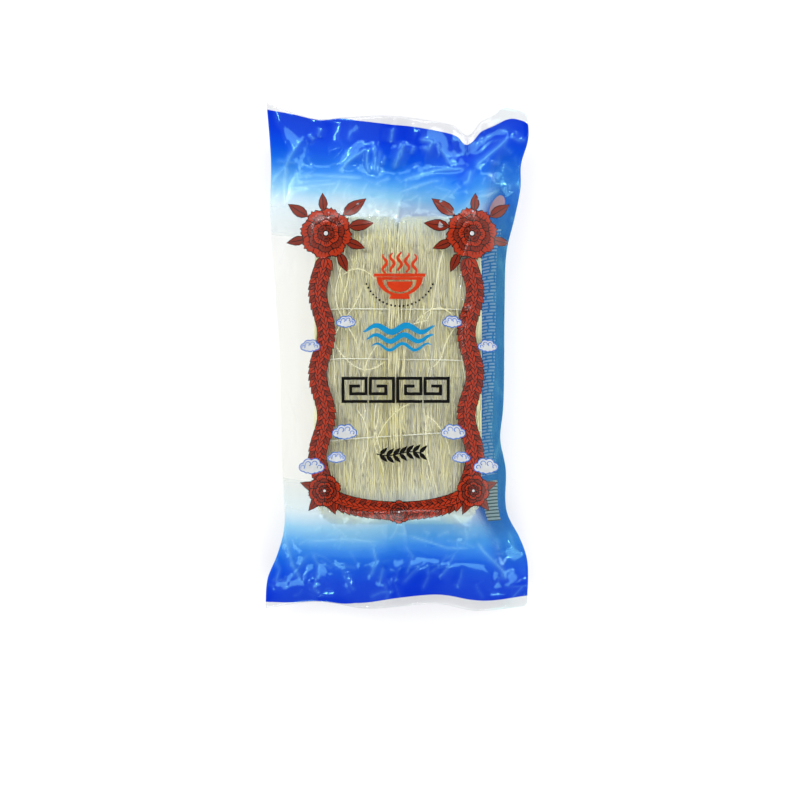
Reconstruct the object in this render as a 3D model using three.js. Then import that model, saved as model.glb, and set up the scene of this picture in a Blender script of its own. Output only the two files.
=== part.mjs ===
// A clear film pillow bag packed round a block of dried glass noodles, lying on its back with the
// printed front up. Millimetres. X runs across the bag, Y from its foot to its head, and Z up.
// The origin is on the table, under the middle of the bag's box.
import * as THREE from "three";
import { mergeVertices } from "three/addons/utils/BufferGeometryUtils.js";

// The noodle block, which gives the bag its body.
const block = { width: 137, length: 243, height: 57, midX: -1, midY: -8, cornerRadius: 15 };
const crown = 3; // how far the front stands up in the middle, where the bundles bulge
const restInset = 13; // the flat underside stops this far inside the block's outline

// The bag. Its two films meet along both folded sides and in a flat seal at each end.
const halfLength = 196;
const sealThickness = 1.6;
const sideHeight = 23; // height of the folded sides above the table
const headHeight = 24; // height of the flat head where it leaves the block
const footHeight = 20;
const headFall = 34; // length over which the films come together past the block's upper end
const footFall = 32;

// The head and the foot are slack film that stands in waves, deeper towards the free edge.
const headWave = { height: 8.5, pitch: 105, shift: 0 };
const footWave = { height: 6, pitch: 128, shift: 12 };

// Outline, seen from above. The sides are drawn in along the block and flare at both ends.
const leftSide = [
  [-196, -103], [-170, -101.5], [-152, -94], [-128, -88], [-80, -90],
  [0, -91.5], [50, -95], [110, -99], [150, -98.5], [196, -102],
];
const rightSide = [
  [-196, 99], [-158, 99.5], [-140, 94], [-118, 83], [-85, 82.5], [-63, 78], [-40, 80.5],
  [40, 81.5], [80, 83], [105, 89], [130, 94], [147, 94], [168, 100], [196, 97],
];
// The head's edge dips where a wave leans away, most of all at the sharp pleat on the right.
const headEdge = [
  [-102, 196], [-86, 190], [-62, 183.5], [-43, 185], [-5, 185], [30, 181], [45, 177],
  [52, 169], [60, 180], [74, 186], [88, 191.5], [102, 187],
];
const footEdge = [[-102, -194], [-60, -189], [-20, -194], [30, -190], [66, -196], [102, -192]];

// Tension folds: ridges of film that run from the block's shoulders to the corners of the seals.
const folds = [
  { from: [-60, 104], to: [-92, 176], height: 3.2, width: 5.5 },
  { from: [38, 108], to: [84, 170], height: 4.2, width: 6 },
  { from: [-14, 110], to: [-22, 160], height: 2.6, width: 5 },
  { from: [8, 112], to: [24, 168], height: 2.6, width: 5 },
  { from: [66, 100], to: [92, 132], height: 2.6, width: 5 },
  { from: [-58, -124], to: [-90, -176], height: 3, width: 6 },
  { from: [58, -124], to: [88, -172], height: 3.4, width: 6 },
  { from: [2, -128], to: [-10, -176], height: 2.4, width: 6 },
];

const columns = 36;
const rows = 60;

// A smooth curve through [place, value] points, with each point's slope from its neighbours.
function along(points, place) {
  const last = points.length - 1;
  const at = THREE.MathUtils.clamp(place, points[0][0], points[last][0]);
  let i = points.findIndex(([p]) => p >= at);
  i = Math.max(i, 1);
  const slope = (k) => {
    const before = points[Math.max(k - 1, 0)];
    const after = points[Math.min(k + 1, last)];
    return (after[1] - before[1]) / (after[0] - before[0]);
  };
  const [p0, v0] = points[i - 1];
  const [p1, v1] = points[i];
  const span = p1 - p0;
  const t = (at - p0) / span;
  const rise = (2 * t ** 3 - 3 * t ** 2 + 1) * v0 + (3 * t ** 2 - 2 * t ** 3) * v1;
  return rise + span * ((t ** 3 - 2 * t ** 2 + t) * slope(i - 1) + (t ** 3 - t ** 2) * slope(i));
}

// Eases from 0 at one place to 1 at another, whichever of the two is greater.
function smooth(from, to, at) {
  const share = THREE.MathUtils.clamp((at - from) / (to - from), 0, 1);
  return share * share * (3 - 2 * share);
}

// How full the bag is across its width: 0 at the folded sides, 1 over the block.
function fillAcross(x, left, right, inset) {
  const nearLeft = (x - left) / (block.midX - block.width / 2 + inset - left);
  const nearRight = (right - x) / (right - block.midX - block.width / 2 + inset);
  const share = THREE.MathUtils.clamp(Math.min(nearLeft, nearRight), 0, 1);
  return Math.sin((share * Math.PI) / 2) ** 1.25;
}

// How full it is along its length: 1 over the block, falling to 0 where the films meet.
function fillAlong(y, inset) {
  const top = block.midY + block.length / 2;
  const bottom = block.midY - block.length / 2;
  return (1 - smooth(top - inset, top + headFall, y)) * smooth(bottom - footFall, bottom + inset, y);
}

function foldHeight(x, y) {
  let sum = 0;
  for (const { from, to, height, width } of folds) {
    const run = new THREE.Vector2(to[0] - from[0], to[1] - from[1]);
    const reach = new THREE.Vector2(x - from[0], y - from[1]);
    const share = reach.dot(run) / run.lengthSq();
    const off = reach.cross(run) / run.length();
    const ends = smooth(-0.1, 0.25, share) * (1 - smooth(0.75, 1.1, share));
    sum += height * ends * Math.exp(-((off / width) ** 2));
  }
  return sum;
}

// Height of the surface midway between the two films.
function middleHeight(x, y) {
  const headShare = smooth(block.midY + block.length / 2, halfLength, y);
  const footShare = smooth(block.midY - block.length / 2, -halfLength, y);
  const wave = ({ height, pitch, shift }) => height * Math.cos((2 * Math.PI * (x - shift)) / pitch);
  const head = headHeight - 6 + wave(headWave) - sideHeight;
  const foot = footHeight - 6 + wave(footWave) - sideHeight;
  return sideHeight + headShare * head + footShare * foot;
}

// One point of the bag. across and up run from -1 to 1, and face is 1 on the front, -1 on the back.
function bagPoint(across, up, face) {
  const nominalX = across * 100;
  const y = THREE.MathUtils.lerp(along(footEdge, nominalX), along(headEdge, nominalX), (up + 1) / 2);
  const left = along(leftSide, y);
  const right = along(rightSide, y);
  const x = THREE.MathUtils.lerp(left, right, (across + 1) / 2);
  const middle = middleHeight(x, y);
  const slack = foldHeight(x, y);
  if (face > 0) {
    const fill = fillAcross(x, left, right, block.cornerRadius) * fillAlong(y, block.cornerRadius);
    const bulge = crown * (1 - (x / 80) ** 2) * (1 - ((y - block.midY) / 140) ** 2);
    const lower = middle + sealThickness / 2 + slack * (1 - fill);
    return [x, y, THREE.MathUtils.lerp(lower, block.height + bulge, fill)];
  }
  const fill = fillAcross(x, left, right, restInset) * fillAlong(y, restInset);
  const upper = middle - sealThickness / 2 + slack * (1 - fill);
  return [x, y, upper * (1 - fill)];
}

function bagGeometry() {
  const sheet = new THREE.BoxGeometry(2, 2, 2, columns, rows, 1);
  const position = sheet.getAttribute("position");
  for (let i = 0; i < position.count; i++) {
    position.setXYZ(i, ...bagPoint(position.getX(i), position.getY(i), position.getZ(i)));
  }
  sheet.deleteAttribute("normal");
  sheet.deleteAttribute("uv");
  const closed = mergeVertices(sheet, 1e-4);
  closed.computeBoundingBox();
  const { min, max } = closed.boundingBox;
  closed.translate(-(min.x + max.x) / 2, -(min.y + max.y) / 2, 0);
  closed.computeVertexNormals();
  return closed;
}

const film = new THREE.MeshStandardMaterial({ color: 0xc9cbb0, roughness: 0.25, metalness: 0 });
const bag = new THREE.Mesh(bagGeometry(), film);
bag.name = "noodle_bag";

const pack = new THREE.Group();
pack.add(bag);

export default pack;
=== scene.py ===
# A clear pillow bag of dried glass noodles, lying on its back, seen straight from above.
import math

import bpy
import numpy as np
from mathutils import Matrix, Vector, geometry
from mathutils.bvhtree import BVHTree


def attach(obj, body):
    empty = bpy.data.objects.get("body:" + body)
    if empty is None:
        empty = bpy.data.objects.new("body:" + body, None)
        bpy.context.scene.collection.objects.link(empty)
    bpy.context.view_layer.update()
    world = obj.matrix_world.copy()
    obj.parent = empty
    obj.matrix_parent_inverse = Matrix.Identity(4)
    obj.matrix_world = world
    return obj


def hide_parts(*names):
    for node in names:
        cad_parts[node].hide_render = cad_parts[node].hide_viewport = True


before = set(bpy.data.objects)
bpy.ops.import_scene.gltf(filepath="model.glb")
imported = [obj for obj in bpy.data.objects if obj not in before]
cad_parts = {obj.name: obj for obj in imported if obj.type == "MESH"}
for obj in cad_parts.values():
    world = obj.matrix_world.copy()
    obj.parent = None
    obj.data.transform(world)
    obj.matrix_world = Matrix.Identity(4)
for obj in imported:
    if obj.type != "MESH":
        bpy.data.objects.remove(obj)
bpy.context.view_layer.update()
bpy.ops.object.select_all(action="DESELECT")
mm = 0.001
print("frame loaded")


def smoothStep(start, end, at):
    share = np.clip((at - start) / (end - start), 0, 1)
    return share * share * (3 - 2 * share)


def sRgb(red, green, blue):
    # a colour as it shows on screen, 0 to 255, turned to the linear one that shaders take
    shares = [value / 255 for value in (red, green, blue)]
    return tuple(s / 12.92 if s <= 0.04045 else ((s + 0.055) / 1.055) ** 2.4 for s in shares) + (1.0,)


def addObject(name, data):
    added = bpy.data.objects.new(name, data)
    bpy.context.scene.collection.objects.link(added)
    return added


def meshFrom(name, points, faces):
    mesh = bpy.data.meshes.new(name)
    mesh.from_pydata(np.asarray(points).tolist(), [], faces)
    mesh.update()
    mesh.shade_smooth()
    return addObject(name, mesh)


def makeActive(piece):
    bpy.ops.object.select_all(action="DESELECT")
    piece.select_set(True)
    bpy.context.view_layer.objects.active = piece


def applyModifier(piece, kind, **settings):
    makeActive(piece)
    modifier = piece.modifiers.new(kind.title(), kind)
    for setting, value in settings.items():
        setattr(modifier, setting, value)
    bpy.ops.object.modifier_apply(modifier=modifier.name)


def pointsOf(piece):
    points = np.zeros(len(piece.data.vertices) * 3)
    piece.data.vertices.foreach_get("co", points)
    return points.reshape(-1, 3)


def setPoints(piece, points):
    piece.data.vertices.foreach_set("co", np.asarray(points, float).ravel())
    piece.data.update()


def addAttribute(piece, name, values):
    attribute = piece.data.attributes.new(name, "FLOAT", "POINT")
    attribute.data.foreach_set("value", np.asarray(values, np.float32))


def readAttribute(piece, name):
    values = np.zeros(len(piece.data.vertices), np.float32)
    piece.data.attributes[name].data.foreach_get("value", values)
    return values.astype(float)


def inEditMode(piece, operation, **settings):
    # one of Blender's mesh operators, on the whole of a piece
    makeActive(piece)
    bpy.ops.object.mode_set(mode="EDIT")
    bpy.ops.mesh.select_all(action="SELECT")
    operation(**settings)
    bpy.ops.object.mode_set(mode="OBJECT")


def setUv(piece, places):
    corners = np.zeros(len(piece.data.loops), int)
    piece.data.loops.foreach_get("vertex_index", corners)
    piece.data.uv_layers.active.data.foreach_set("uv", places[corners].ravel())


def finishPiece(piece, *materials):
    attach(piece, "root")
    for material in materials:
        piece.data.materials.append(material)


def heightAt(tree, x, y, fromAbove=True):
    # the height of a surface over a point of the floor, seen from above or from below, or None
    sign = 1 if fromAbove else -1
    place = tree.ray_cast(Vector((x, y, sign)), Vector((0, 0, -sign)))[0]
    return None if place is None else place.z


def rounded(value, power):
    # a sine or cosine drawn out towards the corners of a rounded box
    return np.sign(value) * np.abs(value) ** power


def newMaterial(name):
    material = bpy.data.materials.new(name)
    material.use_nodes = True
    material.node_tree.nodes.clear()
    return material, material.node_tree


def addNode(tree, kind, inputs=None, **settings):
    # inputs gives sockets, by name or number, a constant or the output of another node
    node = tree.nodes.new("ShaderNode" + kind)
    for setting, value in settings.items():
        setattr(node, setting, value)
    for socket, value in (inputs or {}).items():
        if isinstance(value, bpy.types.NodeSocket):
            tree.links.new(value, node.inputs[socket])
        else:
            node.inputs[socket].default_value = value
    return node


def output(tree, kind, inputs=None, **settings):
    return addNode(tree, kind, inputs, **settings).outputs[0]


def mathNode(tree, operation, *values):
    return output(tree, "Math", dict(enumerate(values)), operation=operation)


def mixShaders(tree, share, first, second):
    return output(tree, "MixShader", {0: share, 1: first, 2: second})


def mixColours(tree, share, first, second):
    return addNode(tree, "Mix", {0: share, 6: first, 7: second}, data_type="RGBA").outputs[2]


def rampNode(tree, value, stops, interpolation="LINEAR"):
    # each stop has a place and a colour, or a place and a grey
    ramp = addNode(tree, "ValToRGB", {0: value})
    ramp.color_ramp.interpolation = interpolation
    elements = ramp.color_ramp.elements
    while len(elements) < len(stops):
        elements.new(0.5)
    for element, (place, colour) in zip(elements, stops):
        element.position = place
        element.color = colour if isinstance(colour, tuple) else (colour, colour, colour, 1)
    return ramp.outputs[0]


def inkStops(stops):
    return [(place, sRgb(*ink)) for place, ink in stops]


def principled(tree, inputs):
    # a Principled surface, linked to the material's output
    addNode(tree, "OutputMaterial", {0: output(tree, "BsdfPrincipled", inputs)})


view = {
    "frameWidth": 0.608,      # what the picture takes in, at the height of the film's front
    "planeHeight": 0.038,
    "distance": 2.3,
    "middle": (0.0023, -0.0326),
    "sensor": 36.0,
}
light = {
    "floorSize": 7.0,
    "floorColour": (0.5, 0.5, 0.5, 1),
    "floorGlow": 0.50,           # the pale floor is lit from under as well, as a light table is
    # how bright the sky is by the height of its direction, with a dim ceiling round the camera
    "sky": [(0.0, 0.86), (0.84, 0.72), (0.95, 0.24)],
    # place, size, watts: broad soft boxes low round the bag, so that flat film stays deep in colour
    "boxes": [
        ((-1.05, 1.2, 0.95), (1.0, 0.7), 8),
        ((0.15, 1.7, 1.0), (1.0, 0.6), 6),
        ((1.15, 1.1, 0.9), (0.9, 0.6), 7),
        ((0.45, -1.5, 1.0), (1.0, 0.6), 8),
        ((-1.0, -1.2, 0.85), (0.8, 0.5), 5),
    ],
    # thin bright strips that draw the glints along the creases
    "strips": [
        ((-0.7, 1.2, 1.0), (0.7, 0.02), 3.0),
        ((0.7, 1.25, 0.9), (0.6, 0.02), 2.4),
        ((0.9, -1.1, 0.9), (0.6, 0.02), 2.2),
        ((-1.3, 0.4, 0.8), (0.4, 0.02), 1.2),
        ((-0.5, 0.9, 1.5), (0.5, 0.012), 1.6),
        ((0.9, 0.3, 1.5), (0.4, 0.012), 1.2),
        ((0.1, -1.0, 1.5), (0.5, 0.012), 1.4),
    ],
}


def makeCamera():
    data = bpy.data.cameras.new("camera")
    data.sensor_width = view["sensor"]
    data.lens = view["sensor"] * view["distance"] / view["frameWidth"]
    camera = addObject("camera", data)
    camera.location = (*view["middle"], view["planeHeight"] + view["distance"])
    bpy.context.scene.camera = camera


def makeLights():
    for place, size, watts in light["boxes"] + light["strips"]:
        data = bpy.data.lights.new("softbox", "AREA")
        data.shape = "RECTANGLE"
        data.size, data.size_y = size
        data.energy = watts
        lamp = addObject("softbox", data)
        lamp.location = place
        lamp.rotation_euler = (-Vector(place)).to_track_quat("-Z", "Y").to_euler()
        lamp.visible_camera = False


def makeSky():
    world = bpy.data.worlds.new("sky")
    bpy.context.scene.world = world
    world.use_nodes = True
    tree = world.node_tree
    direction = addNode(tree, "TexCoord").outputs["Generated"]
    height = addNode(tree, "SeparateXYZ", {0: direction}).outputs["Z"]
    tree.links.new(rampNode(tree, height, light["sky"]), tree.nodes["Background"].inputs[0])


def makeFloor():
    bpy.ops.mesh.primitive_plane_add(size=light["floorSize"])
    floor = bpy.context.object
    floor.name = "floor"
    material, tree = newMaterial("palePaper")
    principled(tree, {"Base Color": light["floorColour"], "Roughness": 0.55, "Specular IOR Level": 0.2,
                      "Emission Color": (1, 1, 1, 1), "Emission Strength": light["floorGlow"]})
    floor.data.materials.append(material)


makeCamera()
makeLights()
makeSky()
makeFloor()
bpy.context.scene.view_settings.view_transform = "Standard"
print("camera and lights set")


hank = {
    "middlesX": (-0.0307, 0.0321),   # two bundles side by side
    "middleY": -0.0100,
    "middleZ": 0.0282,
    "halfWidth": 0.0317,
    "halfLength": 0.1180,
    "halfHeight": 0.0272,
    "sideRoundness": 4.2,            # of a superellipse: 2 is an oval, and more is squarer
    "innerRoundness": 16.0,          # where the two press on one another
    "endDepth": 0.019,               # length over which each end rounds down
    "planRoundness": 5.5,
    "cornerShare": 0.93,             # how far the plan's roundness draws the corners in
}


def outerOrInner(across, middleX, outer):
    # across is -1 to 1 over the bundle, and its inner side faces the other one
    return np.where(across * middleX < 0, hank["innerRoundness"], outer)


def hankHeight(across, middleX):
    # half the bundle's height at a place across it
    n = outerOrInner(across, middleX, hank["sideRoundness"])
    return hank["halfHeight"] * (1 - np.minimum(np.abs(across), 1) ** n) ** (1 / n)


def hankReach(across, middleX):
    # half its length there, so that the corners are rounded when seen from above
    n = outerOrInner(across, middleX, hank["planRoundness"])
    return hank["halfLength"] * (1 - hank["cornerShare"] * np.minimum(np.abs(across), 1) ** n) ** (1 / n)


def hankSolid(name, middleX, shrink, bumps=0.0, scale=1.0):
    # a closed solid of the bundle's form, its surface shrink inside the real one
    around, rings = 48, 64
    turn = np.linspace(0, 2 * math.pi, around, endpoint=False)
    places = np.sin(np.linspace(-math.pi / 2, math.pi / 2, rings)) * 0.9995
    plan = outerOrInner(np.cos(turn), middleX, hank["planRoundness"])
    power = 2 / outerOrInner(np.cos(turn), middleX, hank["sideRoundness"])
    points = []
    for place in places:
        wide = np.minimum(1, ((1 - abs(place) ** plan) / hank["cornerShare"]) ** (1 / plan))
        across = wide * rounded(np.cos(turn), power)
        past = abs(place) * hank["halfLength"] - hankReach(across, middleX) + hank["endDepth"]
        high = np.sqrt(1 - np.clip(past / hank["endDepth"], 0, 0.9999) ** 2)
        x = (hank["halfWidth"] - shrink) * across
        z = high * (hank["halfHeight"] - shrink) * rounded(np.sin(turn), power)
        y = np.full(around, place * (hank["halfLength"] - shrink))
        z = z * (1 + bumps * np.sin(x * 190 + y * 47) * np.cos(y * 83 - x * 60))
        points.append(np.stack([x + middleX, y + hank["middleY"], z + hank["middleZ"]], 1))
    points = np.concatenate(points) * scale
    faces = [list(range(around - 1, -1, -1)), [(rings - 1) * around + i for i in range(around)]]
    for r in range(rings - 1):
        for i in range(around):
            j = (i + 1) % around
            faces.append([r * around + i, r * around + j, (r + 1) * around + j, (r + 1) * around + i])
    piece = meshFrom(name, points, faces)
    inEditMode(piece, bpy.ops.mesh.normals_make_consistent, inside=False)
    return piece


film = {
    "columns": 90,
    "rows": 116,
    "endDetail": 1.1,            # how much closer together the rows are in the slack ends
    "flatHalfWidth": 0.1035,     # the film tube pressed flat
    "flatHalfLength": 0.2025,
    "endWidth": 0.100,           # half the width of the flat ends
    "sealWidth": 0.007,          # the strip welded together at each end
    "simScale": 10.0,            # the cloth is simulated ten times as large
    "frames": 30,
    "gravity": 0.3,
    "clothGap": 0.006,           # at the simulation's scale, as the next one is
    "propGap": 0.012,
    "cloth": {
        "quality": 6, "mass": 0.02, "air_damping": 3, "use_pressure": True, "uniform_pressure_force": 0.10,
        "tension_stiffness": 60, "compression_stiffness": 60, "shear_stiffness": 40, "bending_stiffness": 0.5,
        "tension_damping": 10, "compression_damping": 10, "shear_damping": 10, "bending_damping": 1,
    },
    "floorGap": 0.0006,
    "edgeHeight": 0.02,
}
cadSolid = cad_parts["noodle_bag"]
cadTree = BVHTree.FromObject(cadSolid, bpy.context.evaluated_depsgraph_get())


def nearestHeight(x, y, fromAbove):
    height = heightAt(cadTree, x, y, fromAbove)
    if height is None:   # just off the edge
        height = cadTree.find_nearest(Vector((x, y, film["edgeHeight"])))[0].z
    return height


def edgeBetween(outside, inside):
    # the solid's edge, seen from above, on the way in from a point clear of it
    outside, inside = Vector(outside), Vector(inside)
    steps = max(2, int((inside - outside).length / (2 * mm)))
    low, high = 0.0, 1.0
    for step in range(steps + 1):
        if heightAt(cadTree, *outside.lerp(inside, step / steps)) is not None:
            high = step / steps
            low = max(0.0, (step - 1) / steps)
            break
    for _ in range(8):
        half = (low + high) / 2
        if heightAt(cadTree, *outside.lerp(inside, half)) is None:
            low = half
        else:
            high = half
    return outside.lerp(inside, high)


def bagOutline():
    # the four edges of the bag as the solid has them
    places, heights = np.linspace(-0.1, 0.1, 101), np.linspace(-0.195, 0.195, 157)
    foot, head = (np.array([edgeBetween((x, end), (x, 0)).y for x in places]) for end in (-0.21, 0.21))
    left, right = (np.array([edgeBetween((side, y), (0, y)).x for y in heights]) for side in (-0.115, 0.115))
    # a row past a dipping edge finds nothing near the side, so it takes its neighbour's width
    for side, sign in ((left, -1), (right, 1)):
        for order in (range(len(side) // 2, len(side)), range(len(side) // 2, -1, -1)):
            last = side[len(side) // 2]
            for i in order:
                if sign * side[i] < sign * last - 6 * mm:
                    side[i] = last
                last = side[i]
    return places, foot, head, heights, left, right


def alongSteps():
    # the rows' places from -1 at the foot to 1 at the head, closer together in the slack ends
    fine = np.linspace(-1, 1, 2001)
    density = 1 + film["endDetail"] * smoothStep(0.38, 0.56, np.abs(fine))
    reached = np.cumsum(density) - density[0]
    return np.interp(np.linspace(0, reached[-1], film["rows"] + 1), reached, fine)


def filmGrid():
    # where each point of the two films starts, with the film's own place across and along
    places, foot, head, heights, left, right = bagOutline()
    across, along = np.meshgrid(np.linspace(-1, 1, film["columns"] + 1), alongSteps())
    nominal = across * film["endWidth"]
    low, high = np.interp(nominal, places, foot), np.interp(nominal, places, head)
    y = low + (high - low) * (along + 1) / 2
    leftX, rightX = np.interp(y, heights, left), np.interp(y, heights, right)
    x = leftX + (rightX - leftX) * (across + 1) / 2
    front, back = np.zeros_like(x), np.zeros_like(x)
    for at in np.ndindex(x.shape):
        front[at] = nearestHeight(x[at], y[at], True)
        back[at] = nearestHeight(x[at], y[at], False)
    rim = (np.abs(across) == 1) | (np.abs(along) == 1)
    front[rim] = back[rim] = (front[rim] + back[rim]) / 2
    return across, along, np.stack([x, y, front], -1), np.stack([x, y, back], -1)


def filmSheet(name, points, across, along, isBack):
    bpy.ops.mesh.primitive_grid_add(
        x_subdivisions=film["columns"], y_subdivisions=film["rows"], size=1, calc_uvs=True)
    sheet = bpy.context.object
    sheet.name = name
    setPoints(sheet, points.reshape(-1, 3))
    addAttribute(sheet, "across", across.ravel())
    addAttribute(sheet, "along", along.ravel())
    addAttribute(sheet, "side", np.full(across.size, 0.0 if isBack else 1.0))   # 1 on the front
    setUv(sheet, np.stack([across.ravel(), along.ravel()], 1) / 2 + 0.5)
    if isBack:
        inEditMode(sheet, bpy.ops.mesh.flip_normals)
    sheet.data.materials.append(filmMaterial("backFilm" if isBack else "frontFilm", isBack))
    return sheet


def joinFilms(front, back):
    makeActive(front)
    back.select_set(True)
    bpy.ops.object.join()
    inEditMode(front, bpy.ops.mesh.remove_doubles, threshold=1e-6)
    return front


def simulateFilm(bag):
    # slack film settles round the bundles, with its welded ends and creased sides held as they lie
    scale = film["simScale"]
    across, along = readAttribute(bag, "across"), readAttribute(bag, "along")
    setPoints(bag, pointsOf(bag) * scale)
    held = bag.vertex_groups.new(name="held")
    edge = 1 - film["sealWidth"] / film["flatHalfLength"]
    creased = (np.abs(along) >= edge) | (np.abs(across) > 0.9999)
    held.add(np.flatnonzero(creased).tolist(), 1.0, "REPLACE")
    bag.shape_key_add(name="Basis")
    flat = bag.shape_key_add(name="flat")
    cut = np.stack([across * film["flatHalfWidth"], along * film["flatHalfLength"], along * 0], 1)
    flat.data.foreach_set("co", (cut * scale).ravel())
    flat.value = 0

    props = [hankSolid("prop", x, 0.4 * mm, bumps=0.02, scale=scale) for x in hank["middlesX"]]
    bpy.ops.mesh.primitive_plane_add(size=scale, location=(0, 0, -0.001 * scale))
    props.append(bpy.context.object)
    for prop in props:
        prop.modifiers.new("Collision", "COLLISION")
        prop.collision.thickness_outer = film["propGap"]
        prop.collision.cloth_friction = 8

    cloth = bag.modifiers.new("Cloth", "CLOTH")
    for setting, value in film["cloth"].items():
        setattr(cloth.settings, setting, value)
    cloth.settings.vertex_group_mass = "held"
    cloth.settings.rest_shape_key = flat
    cloth.settings.effector_weights.gravity = film["gravity"]
    cloth.collision_settings.distance_min = film["clothGap"]
    cloth.collision_settings.collision_quality = 3
    cloth.point_cache.frame_end = film["frames"]
    scene = bpy.context.scene
    scene.frame_start, scene.frame_end = 1, film["frames"]
    for number in range(1, film["frames"] + 1):
        scene.frame_set(number)
    settled = bag.evaluated_get(bpy.context.evaluated_depsgraph_get())
    points = pointsOf(settled)
    bag.modifiers.clear()
    bag.shape_key_clear()
    bag.vertex_groups.clear()
    setPoints(bag, points / scale)
    for prop in props:
        bpy.data.objects.remove(prop)
    scene.frame_set(1)


filmFinish = {
    "haze": (0.006, 0.03),       # the share of the light that the clear front and back scatter
    "gloss": (0.05, 0.20),       # how rough the sharp and the soft part of the shine are
    "softShare": 0.35,
    "glossOnInk": (0.32, 0.96, 0.94, 1),   # the ink under it cools the shine
    "shineFlat": 0.048,
    "shineGrazing": 0.5,
    "creaseWhiteningAndSheen": 0.22,          # how pale the film is along its sharpest creases: partly the film's stress whitening, partly a painted highlight in place of the creases' glints
    # the end bands: distance from the ink's edge in tenths of a metre, with the colour there
    "bandColours": [
        (0.00, (0, 36, 184)), (0.16, (0, 46, 194)), (0.28, (0, 68, 202)), (0.36, (6, 88, 206)),
        (0.44, (28, 116, 216)), (0.52, (66, 152, 226)), (0.62, (124, 194, 236)), (0.76, (222, 238, 246)),
    ],
    # the share that the ink covers there, of the front film and of the back; its pale far end, longest on the
    # back, is partly print and partly painted light that lifts the shade under the bag and stands in for the
    # crumpled film's highlights
    "bandCover": (
        [(0.0, 0), (0.003, 1), (0.26, 1), (0.36, 0.94), (0.44, 0.82), (0.51, 0.66), (0.59, 0.52),
         (0.66, 0.43), (0.74, 0.34), (0.84, 0.18), (0.92, 0.06), (1.0, 0)],
        [(0.0, 0), (0.003, 1), (0.26, 1), (0.36, 0.94), (0.44, 0.84), (0.51, 0.70), (0.59, 0.58),
         (0.66, 0.50), (0.74, 0.44), (0.88, 0.38), (1.02, 0.24), (1.2, 0)],
    ),
    # the light that gets through the film and its thinner ink
    "bandTint": [
        (0.0, (0.90, 0.905, 0.905, 1)), (0.01, (0.76, 0.97, 1.0, 1)), (0.51, (0.82, 0.975, 1.0, 1)),
        (0.59, (0.88, 0.975, 0.995, 1)), (0.66, (0.92, 0.975, 0.99, 1)), (0.84, (0.965, 0.97, 0.972, 1)),
    ],
    # the clear strip beyond the ink: places across the film, and its width in tenths of a metre
    "clearStrip": [(0.0, 0.070), (0.10, 0.012), (0.20, 0.014), (0.28, 0.008), (0.34, 0.036),
                   (0.46, 0.086), (0.56, 0.080), (0.76, 0.092), (0.88, 0.088), (1.0, 0.100)],
    "panelSeen": (0.84, 0.92),   # places across the front film between which the panel comes to show
    "fadeSooner": 0.6,           # how much sooner the front's ink fades over the panel
    # the blue panel on the back: its reach across and along the film, and its colours from foot to head
    "panel": ((0.525, 1.0), (0.06, 0.94)),
    "panelColours": [(0.1, (10, 98, 208)), (0.3, (12, 108, 196)), (0.7, (10, 104, 190)),
                     (0.86, (4, 84, 204))],
    "panelGlow": 0.45,           # the share of the light on its ink that comes through
    # plain pale marks in rows, of these sizes in centimetres
    "marks": ((0.60, 0.955), (0.27, 0.76)),
    "markSizes": {"Brick Width": 0.55, "Row Height": 0.27, "Mortar Size": 0.07, "Mortar Smooth": 0.2},
    "markColour": (196, 220, 240),
    "markStrength": 0.45,
    # a plain patch of even bars
    "bars": ((0.900, 0.955), (0.178, 0.258)),
    "barRate": 150,
    "barColours": ((176, 182, 186), (70, 76, 84)),
    # a plain pale-red oval: its middle and half sizes
    "oval": ((0.918, 0.806), (0.027, 0.021)),
    "ovalColour": (206, 150, 160),
}


def overPanel(tree, x):
    # rises from 0 to 1 on the part of the front film that lies over the back's panel
    start, end = filmFinish["panelSeen"]
    return output(tree, "MapRange", {"Value": x, "From Min": start, "From Max": end},
                  interpolation_type="SMOOTHSTEP")


def bandInk(tree, x, y, hasPanel, panelShare):
    # distance from the ink's edge near either cut end, in tenths of a metre
    fromMiddle = mathNode(tree, "ABSOLUTE", mathNode(tree, "SUBTRACT", y, 0.5))
    fromEnd = mathNode(tree, "SUBTRACT", 0.5, fromMiddle)
    fromEnd = mathNode(tree, "MULTIPLY", fromEnd, 2 * film["flatHalfLength"] / 0.1)
    strip = rampNode(tree, x, filmFinish["clearStrip"], "B_SPLINE")
    distance = mathNode(tree, "SUBTRACT", fromEnd, strip)
    sooner = mathNode(tree, "MULTIPLY", panelShare, filmFinish["fadeSooner"])
    faded = mathNode(tree, "MULTIPLY", distance, mathNode(tree, "ADD", sooner, 1.0))
    colour = rampNode(tree, distance, inkStops(filmFinish["bandColours"]))
    cover = rampNode(tree, faded, filmFinish["bandCover"][hasPanel])
    return colour, cover, rampNode(tree, distance, filmFinish["bandTint"])


def inBox(tree, x, y, box):
    # 1 within the box's reach across and along the film, and 0 outside it
    sides = []
    for value, (low, high) in zip((x, y), box):
        above, below = mathNode(tree, "GREATER_THAN", value, low), mathNode(tree, "LESS_THAN", value, high)
        sides.append(mathNode(tree, "MULTIPLY", above, below))
    return mathNode(tree, "MULTIPLY", *sides)


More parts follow.
